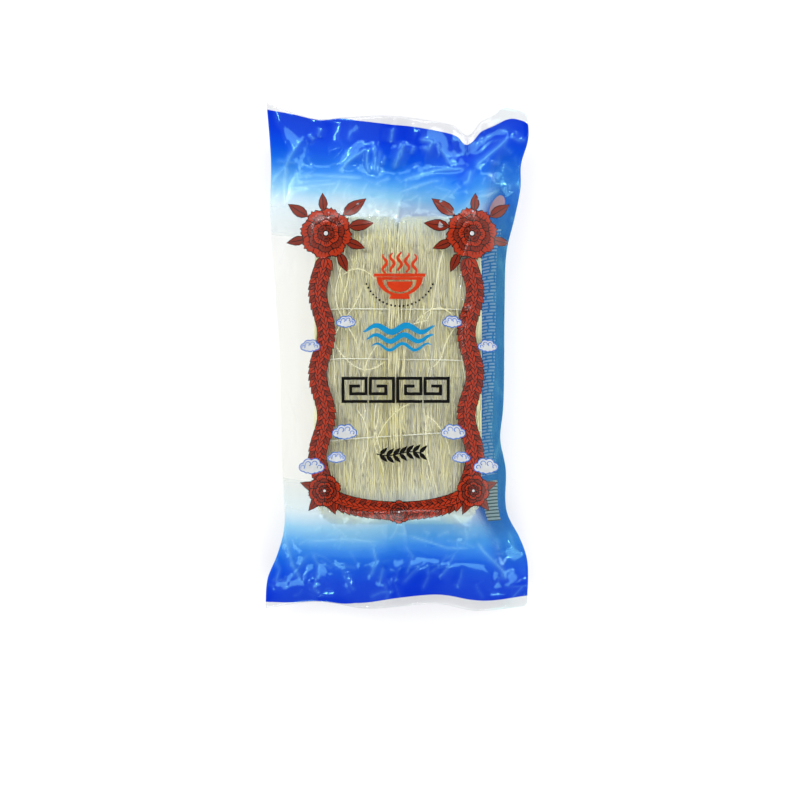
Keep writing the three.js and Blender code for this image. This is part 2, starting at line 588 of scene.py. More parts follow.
def panelInk(tree, uv, x, y, colour, cover):
    # the blue panel on the back film, with rows of plain marks, a patch of bars and an oval
    ink = rampNode(tree, y, inkStops(filmFinish["panelColours"]))
    centimetres = (2 * film["flatHalfWidth"] * 100, 2 * film["flatHalfLength"] * 100, 1)
    place = output(tree, "Mapping", {0: uv, "Scale": centimetres})
    gaps = addNode(tree, "TexBrick", {"Vector": place, "Scale": 1.0, **filmFinish["markSizes"]},
                   offset=0.37, offset_frequency=3, squash=1.7, squash_frequency=2).outputs["Fac"]
    marks = mathNode(tree, "MULTIPLY", mathNode(tree, "SUBTRACT", 1.0, gaps), filmFinish["markStrength"])
    marks = mathNode(tree, "MULTIPLY", inBox(tree, x, y, filmFinish["marks"]), marks)
    ink = mixColours(tree, marks, ink, sRgb(*filmFinish["markColour"]))
    stripes = mathNode(tree, "MODULO", mathNode(tree, "MULTIPLY", y, filmFinish["barRate"]), 1.0)
    pale, dark = (sRgb(*bar) for bar in filmFinish["barColours"])
    bars = mixColours(tree, mathNode(tree, "GREATER_THAN", stripes, 0.6), pale, dark)
    ink = mixColours(tree, inBox(tree, x, y, filmFinish["bars"]), ink, bars)
    squares = []
    for value, middle, half in zip((x, y), *filmFinish["oval"]):
        off = mathNode(tree, "DIVIDE", mathNode(tree, "SUBTRACT", value, middle), half)
        squares.append(mathNode(tree, "MULTIPLY", off, off))
    inOval = mathNode(tree, "LESS_THAN", mathNode(tree, "ADD", *squares), 1.0)
    ink = mixColours(tree, inOval, ink, sRgb(*filmFinish["ovalColour"]))
    panel = inBox(tree, x, y, filmFinish["panel"])
    return mixColours(tree, panel, colour, ink), mathNode(tree, "MAXIMUM", cover, panel)


def filmMaterial(name, hasPanel):
    material, tree = newMaterial(name)
    uv = addNode(tree, "TexCoord").outputs["UV"]
    x, y, _ = addNode(tree, "SeparateXYZ", {0: uv}).outputs
    panelShare = 0.0 if hasPanel else overPanel(tree, x)
    colour, cover, tint = bandInk(tree, x, y, hasPanel, panelShare)
    if hasPanel:
        colour, cover = panelInk(tree, uv, x, y, colour, cover)
    ink = output(tree, "BsdfDiffuse", {0: colour})
    if hasPanel:   # the back's ink also glows with the light from under the bag
        through = output(tree, "BsdfTranslucent", {0: colour})
        ink = mixShaders(tree, filmFinish["panelGlow"], ink, through)
    clear = output(tree, "BsdfTransparent", {0: tint})
    haze = output(tree, "BsdfDiffuse", {0: (1, 1, 1, 1)})
    base = mixShaders(tree, filmFinish["haze"][hasPanel], clear, haze)
    printed = mixShaders(tree, cover, base, ink)
    overInk = mathNode(tree, "MAXIMUM", cover, panelShare)
    cast = mixColours(tree, overInk, (1, 1, 1, 1), filmFinish["glossOnInk"])
    sharp, soft = (output(tree, "BsdfGlossy", {0: cast, "Roughness": rough}) for rough in filmFinish["gloss"])
    gloss = mixShaders(tree, filmFinish["softShare"], sharp, soft)
    # along the sharpest creases a pale diffuse layer is mixed in: partly stress whitening, partly painted
    # highlight
    crease = addNode(tree, "Attribute", attribute_name="crease").outputs["Fac"]
    pale = mathNode(tree, "MULTIPLY", crease, filmFinish["creaseWhiteningAndSheen"])
    creased = mixShaders(tree, pale, printed, output(tree, "BsdfDiffuse", {0: cast}))
    # thin film shines alike from both sides, so the share comes from the facing angle
    facing = addNode(tree, "LayerWeight", {0: 0.5}).outputs["Facing"]
    rise = mathNode(tree, "MULTIPLY", mathNode(tree, "POWER", facing, 5.0), filmFinish["shineGrazing"])
    shine = mathNode(tree, "ADD", rise, filmFinish["shineFlat"])
    addNode(tree, "OutputMaterial", {0: mixShaders(tree, shine, creased, gloss)})
    return material


# Creases of the front film, in millimetres: height, width, and the points that each runs through.
# The head's follow the pack in view; the foot's are the same kind of fold, run the other way.
headCreases = [
    (2.0, 1.1, [(-87, 108), (-86, 122), (-86, 136), (-85, 146), (-82, 153), (-79, 158), (-73, 167),
                (-68, 171)]),
    (1.4, 1.0, [(-85, 146), (-97, 132)]),
    (1.3, 1.0, [(-69, 171), (-63, 166)]),
    (1.2, 0.9, [(-59, 177), (-61, 168)]),
    (1.7, 1.1, [(-82, 139), (-62, 139), (-43, 138), (-18, 137)]),
    (1.0, 0.9, [(-80, 136), (-74, 134), (-45, 135)]),
    (1.2, 1.0, [(-85, 131), (-77, 129), (-47, 132), (-43, 138)]),
    (2.0, 1.3, [(-20, 162), (-36, 151), (-43, 144), (-38, 138)]),
    (2.1, 1.1, [(-20, 163), (-23, 155), (-23, 147), (-20, 138)]),
    (2.0, 1.0, [(-19, 166), (-17, 157), (-16, 137)]),
    (1.4, 0.9, [(-13, 161), (-15, 137)]),
    (1.3, 0.9, [(-9, 155), (-12, 146)]),
    (1.7, 1.1, [(-3, 176), (-5, 163)]),
    (2.1, 1.1, [(7, 166), (2, 156), (-3, 141)]),
    (1.2, 0.9, [(-3, 139), (-16, 132), (-10, 129)]),
    (1.2, 1.0, [(-43, 138), (-45, 131), (-50, 121)]),
    (2.6, 1.4, [(85, 174), (83, 166), (78, 161), (73, 157), (58, 145), (56, 143)]),
    (2.1, 1.6, [(57, 145), (54, 134), (48, 131)]),
    (1.2, 1.0, [(49, 132), (40, 121)]),
    (2.2, 1.4, [(59, 146), (43, 144), (29, 143), (14, 138), (-3, 132)]),
    (1.7, 1.2, [(39, 135), (27, 134), (7, 127), (-3, 123)]),
    (1.6, 1.2, [(29, 167), (36, 155), (43, 144)]),
    (1.6, 1.1, [(6, 166), (3, 154), (-2, 146)]),
    (1.3, 1.0, [(13, 162), (10, 155)]),
    (1.7, 1.6, [(14, 167), (27, 165), (24, 159), (16, 161)]),
    (1.4, 1.0, [(86, 169), (93, 166), (100, 166)]),
    (1.2, 0.9, [(80, 140), (75, 134)]),
    (1.3, 1.0, [(89, 133), (97, 130)]),
    (1.7, 1.3, [(59, 121), (69, 123), (80, 128)]),
    (1.3, 1.2, [(62, 123), (62, 108)]),
    (1.3, 1.0, [(86, 107), (91, 104)]),
    (1.3, 1.0, [(78, 84), (84, 85), (82, 79)]),
    (1.2, 0.9, [(74, 70), (84, 74)]),
    (1.3, 0.9, [(48, 40), (53, 36), (57, 29)]),
    (1.0, 0.8, [(50, 33), (58, 37)]),
]
footCreases = [
    (1.6, 1.2, [(-88, -120), (-85, -140), (-80, -158), (-70, -178)]),
    (1.1, 1.0, [(-84, -144), (-98, -134)]),
    (1.4, 1.2, [(-80, -141), (-40, -138), (-6, -141)]),
    (1.1, 1.0, [(-64, -178), (-60, -160), (-66, -146)]),
    (1.5, 1.2, [(-22, -172), (-16, -156), (-19, -140)]),
    (1.2, 1.0, [(-14, -176), (-10, -158)]),
    (1.0, 1.0, [(6, -170), (12, -152), (4, -140)]),
    (1.6, 1.4, [(62, -146), (38, -145), (20, -139), (2, -133)]),
    (1.9, 1.4, [(87, -176), (80, -162), (66, -148), (58, -136)]),
    (1.1, 1.1, [(32, -170), (40, -158), (46, -146)]),
    (1.2, 1.1, [(84, -130), (90, -146), (97, -152)]),
    (1.1, 1.1, [(-96, -150), (-90, -162), (-94, -176)]),
    (1.3, 1.1, [(74, -82), (76, -70), (84, -57)]),
    (1.0, 0.9, [(76, -70), (83, -74)]),
]
# Folds that take both films with them: depth, width and points.
deepFolds = [
    (4.0, 1.6, [(54, 190), (54, 166), (54, 148)]),
    (1.6, 1.4, [(-2, 190), (-4, 172), (-3, 158)]),
]
# Random small folds: how many, the area they fall in, their heading from the X axis in degrees with
# its spread, and the ranges of their length and height.
crumples = [
    (60, (-62, 66), (98, 132), (80, 60), (6, 22), (0.4, 1.4)),
    (30, (-96, 96), (118, 170), (80, 60), (8, 28), (0.3, 0.9)),
    (24, (60, 98), (90, 180), (60, 50), (8, 24), (0.3, 0.9)),
    (12, (-94, -74), (-100, 110), (90, 14), (20, 60), (0.3, 0.8)),
    (16, (68, 84), (-100, 95), (80, 35), (8, 30), (0.3, 0.8)),
    (26, (-60, 62), (-95, 96), (80, 60), (10, 34), (0.12, 0.35)),
    (40, (-62, 62), (-142, -118), (80, 60), (6, 20), (0.3, 1.0)),
    (40, (-96, 96), (-184, -140), (90, 60), (8, 30), (0.3, 0.8)),
]
crumpleSeed = 3
creaseReach = 7.0   # how far the flat facet beside a crease reaches, in the crease's widths
whiteningAndSheenHeight = 2.0    # a crease as high as this, in millimetres, gets the full whitening and painted highlight


def creaseShare(points, path, width):
    # 1 on a crease that runs along a path, fading away to its sides and towards its ends
    lengths = np.linalg.norm(np.diff(path, axis=0), axis=1)
    total = lengths.sum()
    nearest = np.full(len(points), np.inf)
    place = np.zeros(len(points))
    start = 0.0
    for first, run, length in zip(path[:-1], np.diff(path, axis=0), lengths):
        share = np.clip((points - first) @ run / length ** 2, 0, 1)
        distance = np.linalg.norm(points - first - share[:, None] * run, axis=1)
        closer = distance < nearest
        nearest[closer] = distance[closer]
        place[closer] = (start + share[closer] * length) / total
        start += length
    ridge = 0.45 * np.exp(-nearest / width) + 0.55 * np.maximum(0, 1 - nearest / (creaseReach * width))
    return ridge * smoothStep(0, 0.22, place) * smoothStep(0, 0.22, 1 - place)


def randomFolds():
    rng = np.random.default_rng(crumpleSeed)
    folds = []
    for count, xRange, yRange, headings, lengths, heights in crumples:
        for _ in range(count):
            middle = np.array([rng.uniform(*xRange), rng.uniform(*yRange)])
            heading = math.radians(rng.normal(*headings))
            run = rng.uniform(*lengths) / 2 * np.array([math.cos(heading), math.sin(heading)])
            bow = np.array([-run[1], run[0]]) * rng.normal(0, 0.2)
            height = rng.uniform(*heights) * rng.choice([1, 1, -0.5])
            folds.append((height, rng.uniform(0.8, 1.5), [middle - run, middle + bow, middle + run]))
    return folds


def creaseFilm(bag):
    points = pointsOf(bag)
    for depth, width, path in deepFolds:   # these take both films down together
        points[:, 2] -= depth * mm * creaseShare(points[:, :2], np.array(path) * mm, width * mm)
    pale = np.zeros(len(points))
    front = readAttribute(bag, "side")
    edge = 1 - 2 * film["sealWidth"] / film["flatHalfLength"]
    inside = 1 - smoothStep(edge, 1.0, np.abs(readAttribute(bag, "along")))
    for height, width, path in headCreases + footCreases + randomFolds():
        path, width = np.array(path) * mm, width * mm
        margin = (creaseReach + 0.5) * width
        low, high = path.min(0) - margin, path.max(0) + margin
        near = np.flatnonzero(((points[:, :2] > low) & (points[:, :2] < high)).all(1) & (front > 0.01))
        share = creaseShare(points[near, :2], path, width)
        points[near, 2] += height * mm * share * front[near] * inside[near]
        # the crease attribute: a pale line along each ridge, partly stress whitening, partly painted
        # highlight
        line = share ** 2.5 * min(1, abs(height) / whiteningAndSheenHeight) * front[near]
        pale[near] = np.maximum(pale[near], line)
    setPoints(bag, points)
    addAttribute(bag, "crease", pale)


def makeBag():
    across, along, front, back = filmGrid()
    print("film outline read from the solid")
    bag = joinFilms(filmSheet("filmBag", front, across, along, False),
                    filmSheet("backFilm", back, across, along, True))
    simulateFilm(bag)
    print("film settled")
    applyModifier(bag, "SUBSURF", levels=1, render_levels=1)
    creaseFilm(bag)
    points = pointsOf(bag)
    points[:, 2] += film["floorGap"] - points[:, 2].min()
    setPoints(bag, points)
    bag.data.shade_smooth()
    return bag


bag = makeBag()
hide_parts("noodle_bag")
finishPiece(bag)
filmTree = BVHTree.FromObject(bag, bpy.context.evaluated_depsgraph_get())
print("film bag made")


# The back film's two edges are welded together along its middle, and the seam lies folded flat.
finSeam = {
    "edges": (-0.0075, 0.0045),
    "ends": (-0.180, 0.172),
    "columns": 8,
    "rows": 240,
    "gap": 0.0002,
}


def makeFinSeam():
    bpy.ops.mesh.primitive_grid_add(
        x_subdivisions=finSeam["columns"], y_subdivisions=finSeam["rows"], size=1)
    seam = bpy.context.object
    seam.name = "finSeam"
    points = pointsOf(seam)
    points[:, 0] = np.interp(points[:, 0], (-0.5, 0.5), finSeam["edges"])
    points[:, 1] = np.interp(points[:, 1], (-0.5, 0.5), finSeam["ends"])
    for point in points:
        point[2] = heightAt(filmTree, point[0], point[1], False) - finSeam["gap"]
    setPoints(seam, points)
    setUv(seam, points[:, :2] / (2 * film["flatHalfWidth"], 2 * film["flatHalfLength"]) + 0.5)
    seam.data.materials.append(bpy.data.materials["backFilm"])
    seam.data.shade_smooth()
    return seam


finishPiece(makeFinSeam())


# The print on the front film is a set of flat shapes, in millimetres from the design's middle.
# They lie over one another in order, and the uppermost at each place is the ink that shows there.
artwork = {
    "middle": (1.5, 0.0),
    "step": 2.4,                 # spacing of the extra points that let the ink bend with the film
    "lift": 0.0002,              # how far the ink stands on the film
    "sideLines": (58, 54),       # how far the left and the right garland run from the middle
    "garlandTop": 76,
    "garlandFoot": -90,
    "leafStep": 4.3,
    "leafLength": 10.8,
    "leafWidth": 5.8,
    "leafLean": 0.68,
    "outline": 0.6,
    "cornerFlower": ((55, 93), 19),
    "lowFlower": ((56, -101), 12),
    "middleFlower": ((0, -117), 8.5),
    # middle and width, drawn on both sides
    "clouds": [((41, -57), 17), ((66, -83), 18), ((40, 26), 13), ((67, 8), 13.5), ((47, -76), 12)],
    "bowl": ((0.5, 60), 17.5),
    "waves": ((0, 14), 54),
    "fret": ((-2.5, -25), 2.9),
    "sprig": ((0, -73), 17),
}
inks = {
    "leafRed": (158, 42, 12),
    "leafBrown": (116, 32, 12),
    "outline": (16, 6, 4),
    "cloudWhite": (192, 195, 196),
    "cloudBlue": (26, 96, 186),
    "waveTeal": (8, 128, 178),
    "fretBlack": (5, 5, 4),
    "bowlRed": (186, 50, 14),
    "bare": None,
}
shapes = []


def addShape(ink, points, place=(0, 0), heading=0.0):
    # one flat shape, turned and then moved to its place
    turn = np.array([[math.cos(heading), math.sin(heading)], [-math.sin(heading), math.cos(heading)]])
    shapes.append((ink, np.asarray(points, float) @ turn + np.array(place)))


def circlePoints(radius, count=16):
    turn = np.arange(count) * 2 * math.pi / count
    return radius * np.stack([np.cos(turn), np.sin(turn)], 1)


def ribbonPoints(path, width):
    # a band along a path; width is one number, or one for each point
    path = np.asarray(path, float)
    run = np.gradient(path, axis=0)
    run /= np.linalg.norm(run, axis=1, keepdims=True)
    width = np.reshape(np.broadcast_to(width, len(path)), (-1, 1))
    beside = np.stack([-run[:, 1], run[:, 0]], 1) * width / 2
    return np.concatenate([path + beside, (path - beside)[::-1]])


def leafPoints(length, width):
    share = np.linspace(0, 1, 6)
    half = width / 2 * np.sin(math.pi * share ** 0.8)
    upper = np.stack([share * length, half], 1)
    return np.concatenate([upper, upper[-2:0:-1] * (1, -1)])


def drawLeaf(place, heading, length, width, ink):
    rim = artwork["outline"]
    start = np.array(place) - rim * np.array([math.cos(heading), math.sin(heading)])
    addShape("outline", leafPoints(length + 2.2 * rim, width + 2 * rim), start, heading)
    addShape(ink, leafPoints(length, width), place, heading)
    rib = ribbonPoints([(length * 0.1, 0), (length * 0.5, 0.02), (length * 0.86, 0)], (0.7, 0.6, 0.35))
    addShape("outline", rib, place, heading)


def petalPoints(outer, spread, rim):
    # a petal that opens outwards from a flower's middle, with a frilled edge
    share = np.linspace(-1, 1, 13)
    reach = outer * (1 - 0.16 * share ** 2 + 0.045 * np.cos(5 * math.pi * share)) + rim
    angle = share * (spread + rim / outer)
    edge = np.stack([reach * np.cos(angle), reach * np.sin(angle)], 1)
    return np.concatenate([edge, [(0, 0.35 * outer * spread), (0, -0.35 * outer * spread)]])


# a flower's rings from the outermost in: petals, reach, spread and ink
petalRings = ((8, 1.0, 0.44, "leafRed"), (7, 0.74, 0.46, "leafBrown"), (6, 0.53, 0.54, "leafRed"),
              (5, 0.32, 0.64, "leafBrown"))
# a cloud's lobes, in shares of its width: middle and radius
lobes = ((-0.36, -0.02, 0.16), (-0.16, 0.13, 0.20), (0.12, 0.10, 0.21), (0.35, -0.03, 0.16),
         (0.0, -0.08, 0.20), (-0.2, -0.11, 0.13), (0.2, -0.12, 0.13))
# the leaves round a corner's flower: place, heading and length
cornerLeaves = ((-13, 14, 2.5, 21), (14, 13, 0.6, 18), (15, -4, -0.15, 15), (-15, -6, 3.5, 15),
                (2, 17, 1.5, 14), (-17, 5, 3.0, 19), (-10, -15, 4.3, 15))


def drawFlower(place, size, turned=0.0):
    for number, (petals, share, spread, ink) in enumerate(petalRings):
        reach = size * share
        for petal in range(petals):
            heading = turned + number * 0.4 + petal * 2 * math.pi / petals
            addShape("outline", petalPoints(reach, spread, artwork["outline"]), place, heading)
            addShape(ink, petalPoints(reach, spread, 0), place, heading)
            for vein in (-0.45, 0, 0.45):
                line = [(reach * at * math.cos(vein * spread * at), reach * at * math.sin(vein * spread * at))
                        for at in (0.55, 0.7, 0.86)]
                addShape("outline", ribbonPoints(line, (0.4, 0.6, 0.35)), place, heading)
    addShape("outline", circlePoints(size * 0.13, 12), place)
    addShape("cloudWhite", circlePoints(size * 0.085, 10), place)


def drawCloud(place, width, mirrored):
    side = -1 if mirrored else 1
    for rim, ink in ((0.7, "cloudBlue"), (0, "cloudWhite")):
        for x, y, radius in lobes:
            middle = (place[0] + side * x * width, place[1] + y * width)
            addShape(ink, circlePoints(radius * width + rim), middle)
    turn = np.linspace(-0.4, 4.3, 12)
    for x, y, radius in lobes[:4]:
        curl = radius * width * np.linspace(0.72, 0.3, 12)
        path = np.stack([side * (x * width + curl * np.cos(turn)), y * width + curl * np.sin(turn)], 1)
        addShape("cloudBlue", ribbonPoints(path + place, np.linspace(0.45, 0.75, 12)))


def drawGarland(path):
    # leaves laid over one another along a path, from its far end back to its start
    path = np.asarray(path, float)
    steps = np.linalg.norm(np.diff(path, axis=0), axis=1)
    reached = np.concatenate([[0], np.cumsum(steps)])
    for number, at in enumerate(np.arange(reached[-1], 0, -artwork["leafStep"])):
        here, ahead, behind = (np.array([np.interp(place, reached, path[:, axis]) for axis in (0, 1)])
                               for place in (at, at + 1, at - 1))
        heading = math.atan2(*(ahead - behind)[::-1])
        length, width = artwork["leafLength"], artwork["leafWidth"]
        pair = ("leafRed", "leafBrown") if number % 2 else ("leafBrown", "leafRed")
        drawLeaf(here, heading + artwork["leafLean"], length, width, pair[0])
        drawLeaf(here, heading - artwork["leafLean"], length, width, pair[1])
        drawLeaf(here, heading, length * 0.8, width * 0.85, "leafRed")


def drawFrame():
    down = np.linspace(artwork["garlandTop"], artwork["garlandFoot"], 60)
    wave = 2.8 * np.sin((down - artwork["garlandFoot"]) * 2 * math.pi / 62)
    for side, line in zip((-1, 1), artwork["sideLines"]):
        drawGarland([(side * (line - 4) * math.cos(turn), -99 - 17 * math.sin(turn))
                     for turn in np.linspace(0.12, math.pi / 2, 24)])
        drawGarland(np.stack([side * (line + wave), down], 1))
        (x, y), size = artwork["cornerFlower"]
        for leafX, leafY, heading, length in cornerLeaves:
            turned = heading if side > 0 else math.pi - heading
            drawLeaf((side * (x + leafX), y + leafY), turned, length, length * 0.42, "leafBrown")
        drawFlower((side * x, y), size, side * 0.2)
        (x, y), size = artwork["lowFlower"]
        for heading in (0.3, -0.9, -2.0):
            turned = heading if side > 0 else math.pi - heading
            drawLeaf((side * x, y), turned, size * 1.6, size * 0.62, "leafBrown")
        drawFlower((side * x, y), size, -side * 0.3)
        for (x, y), width in artwork["clouds"]:
            drawCloud((side * x, y), width, side < 0)
    drawFlower(*artwork["middleFlower"])


def drawBowl():
    (x, y), half = artwork["bowl"]
    turn = np.linspace(math.pi, 2 * math.pi, 22)
    bowl = np.stack([half * np.cos(turn), half * 0.82 * np.sin(turn)], 1)
    foot, depth, rim = half * 0.38, -half * 0.8, half * 1.1
    addShape("bowlRed", bowl, (x, y))
    addShape("bare", bowl * 0.72 + (0, -2.2), (x, y))
    addShape("bowlRed", bowl * 0.56 + (0, -3.4), (x, y))
    addShape("bowlRed", [(-foot, depth + 1), (-foot * 1.15, depth - 2.6), (foot * 1.15, depth - 2.6),
                         (foot, depth + 1)], (x, y))
    addShape("bowlRed", [(-rim, 0.2), (-rim, 2.6), (rim, 2.6), (rim, 0.2)], (x, y))
    rise = np.linspace(4.4, 19, 16)
    thick = 2.0 * np.sin(np.linspace(0.5, math.pi - 0.3, 16)) + 0.3
    for number in range(5):   # steam
        steamX = x + (number - 2) * 5.6 + 1.5 * np.sin(rise * 0.62 + number)
        addShape("bowlRed", ribbonPoints(np.stack([steamX, y + rise - abs(number - 2) * 0.9], 1), thick))
    for turn in np.linspace(-2.75, -0.4, 21):   # beads in an arc under the bowl
        addShape("fretBlack", circlePoints(0.8, 8), (x + 27 * math.cos(turn), y + 5 + 27 * math.sin(turn)))


def drawWaves():
    (x, y), width = artwork["waves"]
    along = np.linspace(-0.5, 0.5, 40)
    for number, (drop, thick, share) in enumerate(((7, 4.4, 1.0), (0, 3.6, 0.94), (-6.6, 2.2, 0.84))):
        crest = y + drop + 2.5 * np.sin(along * 15 + number * 0.7)
        path = np.stack([x + along * width * share + number, crest], 1)
        addShape("waveTeal", ribbonPoints(path, thick * np.cos(along * math.pi) ** 0.5 + 0.3))


def drawFret():
    # four square spirals, turned alternately to the left and to the right
    (x, y), unit = artwork["fret"]
    turns = ((0, 0), (6, 0), (6, 6), (0, 6), (0, 2), (4, 2), (4, 4), (2, 4))
    half = unit * 0.4
    for number in range(4):
        side = 1 if number % 2 else -1
        middle = np.array([x + (number - 1.5) * unit * 7.1, y])
        corners = [middle + (side * (u - 3) * unit, (v - 3) * unit) for u, v in turns]
        for first, second in zip(corners[:-1], corners[1:]):
            low, high = np.minimum(first, second) - half, np.maximum(first, second) + half
            addShape("fretBlack", [low, (high[0], low[1]), high, (low[0], high[1])])


def drawSprig():
    (x, y), half = artwork["sprig"]
    stem = np.linspace(-1, 1, 14)
    addShape("fretBlack", ribbonPoints(np.stack([x + stem * half, y + 1.5 * np.sin(stem * 3)], 1), 0.9))
    for at in np.linspace(-0.85, 0.9, 7):
        for lean in (0.75, -0.75):
            place = (x + at * half, y + 1.5 * math.sin(at * 3))
            addShape("fretBlack", leafPoints(8.2, 3.2), place, lean)


def insideShape(points, outline):
    inside = np.zeros(len(points), bool)
    for first, second in zip(outline, np.roll(outline, -1, 0)):
        crosses = (first[1] > points[:, 1]) != (second[1] > points[:, 1])
        rise = second[1] - first[1] or 1e-9
        edge = (second[0] - first[0]) * (points[:, 1] - first[1]) / rise + first[0]
        inside ^= crosses & (points[:, 0] < edge)
    return inside


def makePrint():
    for draw in (drawFrame, drawBowl, drawWaves, drawFret, drawSprig):
        draw()
    places, edges = [], []
    for ink, points in shapes:
        start = len(places)
        places.extend((points + artwork["middle"]).tolist())
        edges.extend((start + i, start + (i + 1) % len(points)) for i in range(len(points)))
    low, high = np.min(places, 0), np.max(places, 0)
    extraX, extraY = (np.arange(low[axis], high[axis], artwork["step"]) for axis in (0, 1))
    places.extend((x, y) for x in extraX for y in extraY)
    places = [Vector(place) for place in places]
    flat, _, triangles, *_ = geometry.delaunay_2d_cdt(places, edges, [], 0, 1e-4, False)
    flat, triangles = np.array([tuple(point) for point in flat]), np.array(triangles)
    middles = flat[triangles].mean(1)
    top = np.full(len(triangles), -1)
    names = list(inks)
    order = np.argsort(middles[:, 0])
    sortedX = middles[order, 0]
    for ink, points in shapes:
        outline = points + artwork["middle"]
        first, last = np.searchsorted(sortedX, (outline[:, 0].min(), outline[:, 0].max()))
        near = order[first:last]
        near = near[(middles[near, 1] > outline[:, 1].min()) & (middles[near, 1] < outline[:, 1].max())]
        top[near[insideShape(middles[near], outline)]] = names.index(ink)
    laid = [onFilm(*(point * mm)) for point in flat]
    onBag = np.array([point is not None for point in laid])
    inked = (top >= 0) & (top != names.index("bare")) & onBag[triangles].all(1)
    used, faces = np.unique(triangles[inked], return_inverse=True)
    piece = meshFrom("frontPrint", [laid[corner] for corner in used], faces.reshape(-1, 3).tolist())
    piece.data.polygons.foreach_set("material_index", top[inked])
    for name, colour in inks.items():
        if colour:
            piece.data.materials.append(plainMaterial(name, colour, 160.0, 0.16, 0.4))
    return piece


def onFilm(x, y):
    place, normal, *_ = filmTree.ray_cast(Vector((x, y, 1)), Vector((0, 0, -1)))
    return None if place is None else tuple(place + normal * artwork["lift"])


def plainMaterial(name, colour, grain, roughness, specular=0.5):
    # one colour, a little darker in patches; a higher grain makes them smaller
    material, tree = newMaterial(name)
    place = addNode(tree, "TexCoord").outputs["Object"]
    noise = output(tree, "TexNoise", {"Vector": place, "Scale": grain, "Detail": 3.0})
    full = sRgb(*colour)
    shade = (*(value * 0.88 for value in full[:3]), 1)
    principled(tree, {"Base Color": rampNode(tree, noise, [(0.35, shade), (0.65, full)]),
                      "Roughness": roughness, "Specular IOR Level": specular})
    return material


finishPiece(makePrint())
print("print laid on the front film")

noodle = {
    "seed": 7,
    "radius": 0.0004,
    "sides": 4,
    "pitch": 0.00077,
    "layers": (0.0003, 0.0006, 0.0009),   # depth of each layer under the bundle's surface
    "sideStep": 0.0018,
    "sideDepth": 0.0235,
    "straightPoints": 30,
    "endPoints": 9,
    "wander": 0.0007,
    "unruly": 0.2,               # the share of strands that wander more
    "filmGap": 0.0004,
    "coreShrink": 0.0007,
    "looseRadius": 0.00030,
    "looseArea": ((-0.060, 0.061), (-0.124, 0.103)),   # they stay within these, across and along
    "looseStart": (-0.122, 0.06),
    # random strands that fill the groove between the bundles, and others that lie anywhere on them;
    # drop is how deep they may lie, in millimetres
    "inGroove": {"count": 30, "x": (-0.004, 0.005), "length": (0.06, 0.16), "lean": 0.03, "swing": 0.06,
                 "bend": 0.4, "drop": 3},
    "anywhere": {"count": 12, "x": (-0.056, 0.058), "length": (0.04, 0.12), "lean": 0.35, "swing": 0.25,
                 "bend": 9.0, "drop": 0},
    # strands that cross the others in plain view, in millimetres
    "crossing": [
        [(-45.6, 7.6), (-35.7, -3.8), (-20.5, -11.4), (-10.7, -3.8)],
        [(12.9, 24.3), (28.9, 36.5), (43.3, 29.7)],
        [(-16.7, -66.9), (-9.1, -51.7), (2.3, -38.7), (17.5, -32.7)],
        [(-40, 62), (-28, 66), (-16, 58)],
        [(-30, -40), (-22, -58), (-26, -80)],
        [(22, -44), (34, -56), (40, -74)],
    ],
    # dark, middle and pale
    "colours": ((230, 221, 152), (239, 233, 183), (246, 244, 215)),
    "coreColours": ((216, 207, 126), (224, 216, 140), (232, 225, 158)),
    "patches": ((1300, 15, 300), (34, 9, 20)),   # fine streaks along the strands, and broad patches
    "patchShare": 0.34,
    "toneShare": 0.22,           # how much the strands differ from one another
    "coreTone": 0.9,
}


def sweepTubes(name, paths, radius, sides, tones, closed, reference):
    # one mesh of many thin round strands; paths is strands x points x 3
    paths = np.asarray(paths)
    strands, count, _ = paths.shape
    if closed:
        run = np.roll(paths, -1, 1) - np.roll(paths, 1, 1)
    else:
        run = np.gradient(paths, axis=1)
    run /= np.linalg.norm(run, axis=2, keepdims=True)
    first = reference - (run @ reference)[..., None] * run
    first /= np.linalg.norm(first, axis=2, keepdims=True)
    second = np.cross(run, first)
    turn = np.arange(sides) * 2 * math.pi / sides
    ring = np.cos(turn)[:, None] * first[:, :, None] + np.sin(turn)[:, None] * second[:, :, None]
    points = paths[:, :, None] + radius * ring
    start = np.arange(strands)[:, None, None] * count * sides
    along = np.arange(count if closed else count - 1)[None, :, None]
    around = np.arange(sides)[None, None, :]
    here, ahead = start + along * sides, start + (along + 1) % count * sides
    beside = (around + 1) % sides
    quads = np.stack([here + around, here + beside, ahead + beside, ahead + around], -1)
    faces = quads.reshape(-1, 4).tolist()
    if not closed:
        for strand in range(strands):
            base = strand * count * sides
            faces.append([base + i for i in range(sides - 1, -1, -1)])
            faces.append([base + (count - 1) * sides + i for i in range(sides)])
    piece = meshFrom(name, points.reshape(-1, 3), faces)
    addAttribute(piece, "tone", np.repeat(tones, count * sides))
    return piece


def wobble(share, heights, rng):
    # a sum of waves along a strand; heights has a height for each number of waves
    return sum(height * rng.normal() * np.sin(count * share + rng.uniform(0, 2 * math.pi))
               for count, height in heights)


